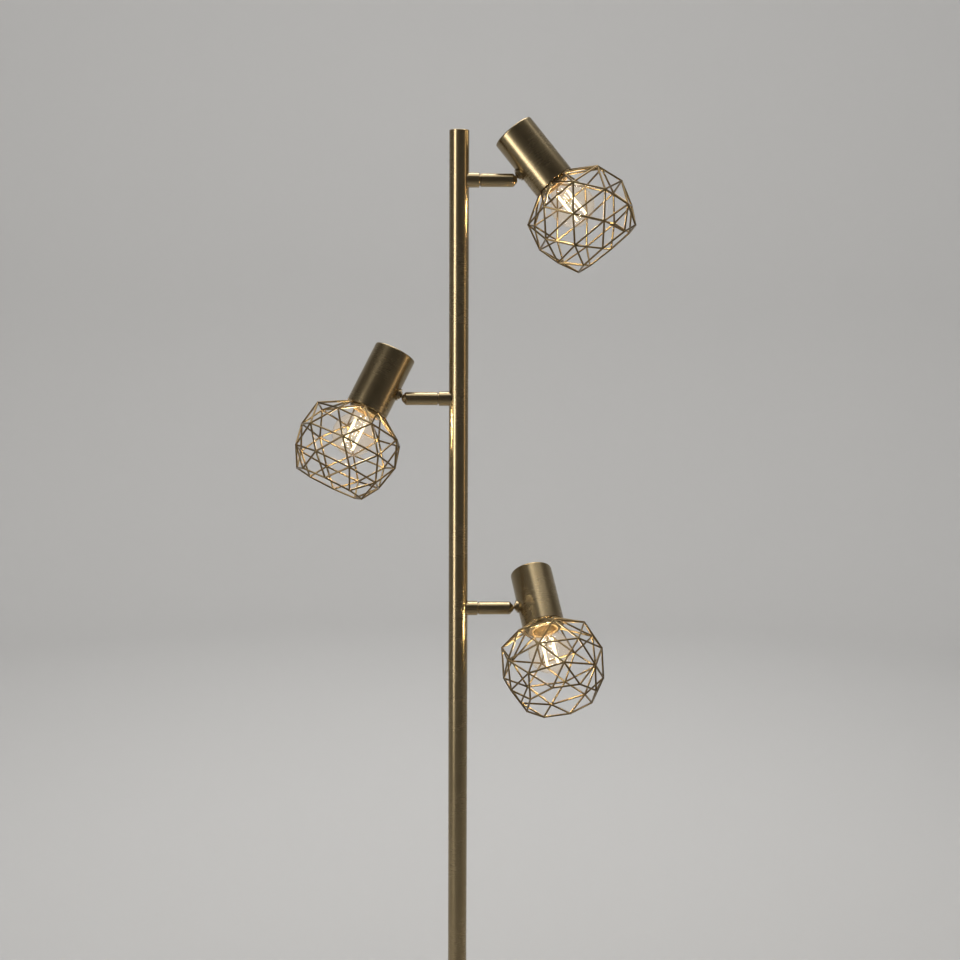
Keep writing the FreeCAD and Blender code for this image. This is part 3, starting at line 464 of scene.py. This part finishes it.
def make_cage_plate(head):
    """The ring of sheet that the top wires are welded to."""
    mesh = bmesh.new()
    add_turned(mesh, [
        (PLATE_HOLE, PLATE_BOTTOM),
        (PLATE_RADIUS - PLATE_EDGE, PLATE_BOTTOM),
        (PLATE_RADIUS, PLATE_BOTTOM + PLATE_EDGE),
        (PLATE_RADIUS, CAN_MOUTH),
        (PLATE_HOLE, CAN_MOUTH),
    ])
    finish_piece(mesh, f"cage_plate_{head}", can_frame(head), OWN_LOOKS[f"can_{head}"],
                 head, "cage", PLATE_SHARP)


# Ribbed ring that clamps the cage's plate ----------------------------------------------------

RING_RADIUS = 17.5 * MM
RING_BOTTOM = -32 * MM
RING_EDGE = 0.8 * MM
RING_RIBS = 36
RING_RIB_STEPS = 8
RING_RIB_DEPTH = 0.55 * MM
RING_SHARP = 35               # degrees


def make_shade_ring(head):
    mesh = bmesh.new()
    add_turned(mesh, [
        (PLATE_HOLE, RING_BOTTOM),
        (RING_RADIUS - RING_EDGE, RING_BOTTOM),
        (RING_RADIUS, RING_BOTTOM + RING_EDGE, RIBBED),
        (RING_RADIUS, PLATE_BOTTOM - RING_EDGE, RIBBED),
        (RING_RADIUS - RING_EDGE, PLATE_BOTTOM),
        (PLATE_HOLE, PLATE_BOTTOM),
    ], RING_RIBS * RING_RIB_STEPS, RING_RIBS, RING_RIB_DEPTH)
    finish_piece(mesh, f"ribbed_ring_{head}", can_frame(head), OWN_LOOKS[f"shade_ring_{head}"],
                 head, "shade_ring", RING_SHARP)


# Inside of the bulb --------------------------------------------------------------------------

BAR_RADIUS = 1.35 * MM
BAR_HALF_LENGTH = 15.5 * MM
BAR_ASIDE = 5.5 * MM
TAB_RADIUS = 0.35 * MM
TAB_LENGTH = 1.6 * MM
FEED_RADIUS = 0.28 * MM
STEM_RADIUS = 1.5 * MM
STEM_TIP = GLOBE_MIDDLE - BAR_HALF_LENGTH
STEM_SEAT = -12.2 * MM
STEM_STEPS = 32
TIP_SHARES = (0.05, 0.5, 0.85, 1.0)            # of the stem's radius, round its tip
FLARE_RADIUS = 5.5 * MM
FLARE_LENGTH = 11 * MM
FLARE_SHARES = (0.0, 0.25, 0.5, 0.75, 1.0)     # of the flare's length, up to its seat


def bulb_place(head):
    return can_frame(head) @ turned(BULB_TURN[head], "Z")


def make_bars(head):
    """The two glowing bars."""
    mesh = bmesh.new()
    for across in (BAR_ASIDE, -BAR_ASIDE):
        low = (across, 0, GLOBE_MIDDLE - BAR_HALF_LENGTH + BAR_RADIUS)
        high = (across, 0, GLOBE_MIDDLE + BAR_HALF_LENGTH - BAR_RADIUS)
        add_rod(mesh, low, high, BAR_RADIUS)
        add_ball(mesh, low, BAR_RADIUS)
        add_ball(mesh, high, BAR_RADIUS)
    finish_piece(mesh, f"filament_bars_{head}", bulb_place(head), FILAMENT,
                 head, "bulb_filament")


def make_feeds(head):
    """Metal tabs on the bars' ends and the wires that join them to the stem."""
    mesh = bmesh.new()
    for end in (1, -1):
        level = GLOBE_MIDDLE + end * BAR_HALF_LENGTH
        tab_end = level - end * TAB_LENGTH / 2
        wire_level = level - end * TAB_RADIUS
        for across in (BAR_ASIDE, -BAR_ASIDE):
            add_rod(mesh, (across, 0, tab_end), (across, 0, level), TAB_RADIUS, True)
            add_rod(mesh, (0, 0, wire_level), (across, 0, wire_level), FEED_RADIUS)
    finish_piece(mesh, f"filament_feeds_{head}", bulb_place(head), FEED,
                 head, "bulb_filament")


def make_stem(head):
    """Glass stem, flared where it meets the bulb's neck."""
    mesh = bmesh.new()
    outline = [(STEM_RADIUS * share, STEM_TIP + STEM_RADIUS * (1 - math.sqrt(1 - share ** 2)))
               for share in TIP_SHARES]
    outline += [(STEM_RADIUS + (FLARE_RADIUS - STEM_RADIUS) * share ** 2,
                 STEM_SEAT - FLARE_LENGTH * (1 - share)) for share in FLARE_SHARES]
    add_turned(mesh, outline, STEM_STEPS, closed=False)
    finish_piece(mesh, f"bulb_stem_{head}", bulb_place(head), GLASS,
                 head, "bulb_filament")


for number in HEADS:
    make_cage_wires(number)
    make_cage_plate(number)
    make_shade_ring(number)
    make_bars(number)
    make_feeds(number)
    make_stem(number)


# Studio, light and camera, in metres --------------------------------------------------------

STUDIO_RINGS = (0.02, 1, 2, 3)
STUDIO_FLOOR = 4.2
STUDIO_SWEEP = 1.4
STUDIO_SWEEP_STEPS = 12
STUDIO_TOP = 4.6
STUDIO_PAINT = (0.46, 0.455, 0.447)
STUDIO_DIM = 0.98
STUDIO_MOTTLE_SCALE = 0.6

ROOM_COLOUR = (0.8, 0.79, 0.77)
ROOM_STRENGTH = 0.85

HEADS_MIDDLE = (0, 0, 1.05)
LIGHTS = [    # name, place, target, width, height, power, colour
    ("key", (-1.7, -1.42, 1.4), HEADS_MIDDLE, 0.5, 2.1, 24, (1.0, 0.98, 0.95)),
    ("rim", (1.95, -0.5, 1.5), HEADS_MIDDLE, 0.16, 1.9, 3.5, (1.0, 0.74, 0.46)),
    ("over", (0.2, 0.6, 4.3), (0, 0.9, 0), 3.6, 3.0, 60, (1.0, 1.0, 1.0)),
    ("wall", (0, 1.2, 4.3), (0, 5.4, 1.4), 3.0, 1.0, 190, (1.0, 1.0, 1.0)),
]

CAMERA_PLACE = (-0.0229, -1.3878, 1.3894)
CAMERA_RIGHT_TURN = 0.0326            # radians
CAMERA_PITCH = math.radians(7.9)
CAMERA_ROLL = math.radians(0.277)
CAMERA_LENS = 50.74
CAMERA_SENSOR = 36
CAMERA_CLIP_END = 50


def stage_paint(name, colour):
    material, tree, output = new_material(name)
    shader = add(tree, "ShaderNodeBsdfDiffuse")
    dim = tuple(value * STUDIO_DIM for value in colour)
    mottle = noise(tree, coordinates(tree), STUDIO_MOTTLE_SCALE)
    tree.links.new(ramp(tree, mottle, 0.0, dim, 1.0, colour), shader.inputs["Color"])
    tree.links.new(shader.outputs["BSDF"], output.inputs["Surface"])
    return material


def make_studio():
    """A pale floor that sweeps up into a wall all round, under a flat ceiling."""
    outline = [(radius, 0) for radius in (*STUDIO_RINGS, STUDIO_FLOOR)]
    for step in range(1, STUDIO_SWEEP_STEPS + 1):
        angle = step * math.pi / 2 / STUDIO_SWEEP_STEPS
        outline.append((STUDIO_FLOOR + STUDIO_SWEEP * math.sin(angle),
                        STUDIO_SWEEP * (1 - math.cos(angle))))
    outline.append((STUDIO_FLOOR + STUDIO_SWEEP, STUDIO_TOP))
    mesh = bmesh.new()
    add_turned(mesh, outline, closed=False)
    bmesh.ops.holes_fill(mesh, edges=mesh.edges, sides=TURN_STEPS)    # middle and ceiling
    as_object(mesh, "studio", stage_paint("studio_paint", STUDIO_PAINT))


def make_world():
    """What lies outside the closed studio."""
    world = bpy.data.worlds.new("room")
    bpy.context.scene.world = world
    world.use_nodes = True
    tree = world.node_tree
    tree.nodes.clear()
    output = add(tree, "ShaderNodeOutputWorld")
    room = add(tree, "ShaderNodeBackground")
    room.inputs["Color"].default_value = (*ROOM_COLOUR, 1.0)
    room.inputs["Strength"].default_value = ROOM_STRENGTH
    tree.links.new(room.outputs["Background"], output.inputs["Surface"])


def area_light(name, place, target, width, height, power, colour):
    data = bpy.data.lights.new(name, "AREA")
    data.shape = "RECTANGLE"
    data.size = width
    data.size_y = height
    data.energy = power
    data.color = colour
    light = bpy.data.objects.new(name, data)
    bpy.context.collection.objects.link(light)
    light.location = place
    light.rotation_euler = (Vector(target) - Vector(place)).to_track_quat("-Z", "Y").to_euler()
    light.visible_camera = False


def make_camera():
    """As in the photo: a little below the top arm, and looking slightly down."""
    side = Vector((math.cos(CAMERA_RIGHT_TURN), -math.sin(CAMERA_RIGHT_TURN), 0))
    ahead = Vector((math.sin(CAMERA_RIGHT_TURN) * math.cos(CAMERA_PITCH),
                    math.cos(CAMERA_RIGHT_TURN) * math.cos(CAMERA_PITCH),
                    -math.sin(CAMERA_PITCH)))
    up = side.cross(ahead)
    across = side * math.cos(CAMERA_ROLL) + up * math.sin(CAMERA_ROLL)
    upward = up * math.cos(CAMERA_ROLL) - side * math.sin(CAMERA_ROLL)
    data = bpy.data.cameras.new("camera")
    data.lens = CAMERA_LENS
    data.sensor_width = CAMERA_SENSOR
    data.clip_end = CAMERA_CLIP_END
    data.dof.use_dof = False
    camera = bpy.data.objects.new("camera", data)
    bpy.context.collection.objects.link(camera)
    turn = Matrix((across, upward, -ahead)).transposed().to_4x4()
    camera.matrix_world = Matrix.Translation(CAMERA_PLACE) @ turn
    bpy.context.scene.camera = camera


make_studio()
make_world()
for light_row in LIGHTS:
    area_light(*light_row)
make_camera()
bpy.context.scene.view_settings.view_transform = "Standard"
